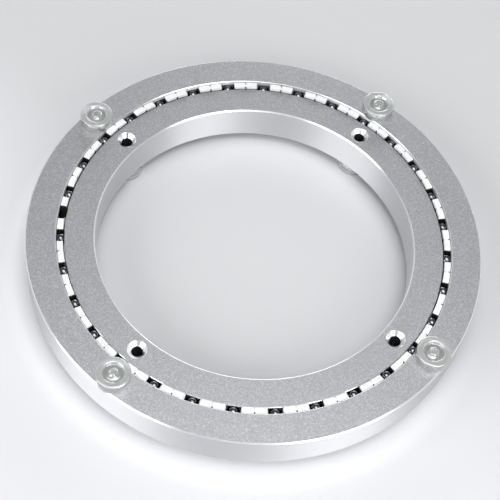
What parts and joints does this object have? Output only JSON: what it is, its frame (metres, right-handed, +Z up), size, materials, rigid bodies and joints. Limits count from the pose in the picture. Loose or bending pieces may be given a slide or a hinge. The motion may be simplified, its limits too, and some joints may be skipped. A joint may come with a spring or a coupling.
{
  "type": "lazy susan bearing",
  "caption": "Flat turntable bearing: an aluminium outer ring turns round a fixed inner ring on caged steel balls, with countersunk screw holes and clear round pads.",
  "frame": {"origin": "on the bearing's axis, in the plane that the base pads stand on", "axes": "+Z up along the axis of turning; X and Y lie midway between the inner ring's screw holes"},
  "size_m": [0.14, 0.14, 0.0202],
  "materials": {
    "ring_metal": "sandblasted and silver anodised tops, satin turned walls",
    "ball_steel": "polished",
    "cage_plastic": "white moulded",
    "clear_pad": "clear, soft, smooth"
  },
  "bodies": {
    "base": {"inner_ring": "ring_metal", "base_pad_1": "clear_pad", "base_pad_2": "clear_pad", "base_pad_3": "clear_pad", "base_pad_4": "clear_pad"},
    "turntable": {"outer_ring": "ring_metal", "top_pad_1": "clear_pad", "top_pad_2": "clear_pad", "top_pad_3": "clear_pad", "top_pad_4": "clear_pad"},
    "cage": {"cage_link_01": "cage_plastic", "cage_link_02": "cage_plastic", "cage_link_03": "cage_plastic", "cage_link_04": "cage_plastic", "cage_link_05": "cage_plastic", "cage_link_06": "cage_plastic", "cage_link_07": "cage_plastic", "cage_link_08": "cage_plastic", "cage_link_09": "cage_plastic", "cage_link_10": "cage_plastic", "cage_link_11": "cage_plastic", "cage_link_12": "cage_plastic", "cage_link_13": "cage_plastic", "cage_link_14": "cage_plastic", "cage_link_15": "cage_plastic", "cage_link_16": "cage_plastic", "cage_link_17": "cage_plastic", "cage_link_18": "cage_plastic", "cage_link_19": "cage_plastic", "cage_link_20": "cage_plastic", "cage_link_21": "cage_plastic", "cage_link_22": "cage_plastic", "cage_link_23": "cage_plastic", "cage_link_24": "cage_plastic", "cage_link_25": "cage_plastic", "cage_link_26": "cage_plastic", "cage_link_27": "cage_plastic", "cage_link_28": "cage_plastic", "cage_link_29": "cage_plastic", "cage_link_30": "cage_plastic", "cage_link_31": "cage_plastic", "balls": "ball_steel"}
  },
  "joints": [
    {"name": "turntable_spin", "type": "hinge", "parent": "base", "child": "turntable", "pos_m": [0, 0, 0.0134], "axis": [0, 0, 1], "continuous": true},
    {"name": "cage_spin", "type": "hinge", "parent": "base", "child": "cage", "pos_m": [0, 0, 0.0134], "axis": [0, 0, 1], "continuous": true}
  ],
  "couplings": [
    {"joint": "cage_spin", "follows": "turntable_spin", "ratio": 0.51681}
  ]
}
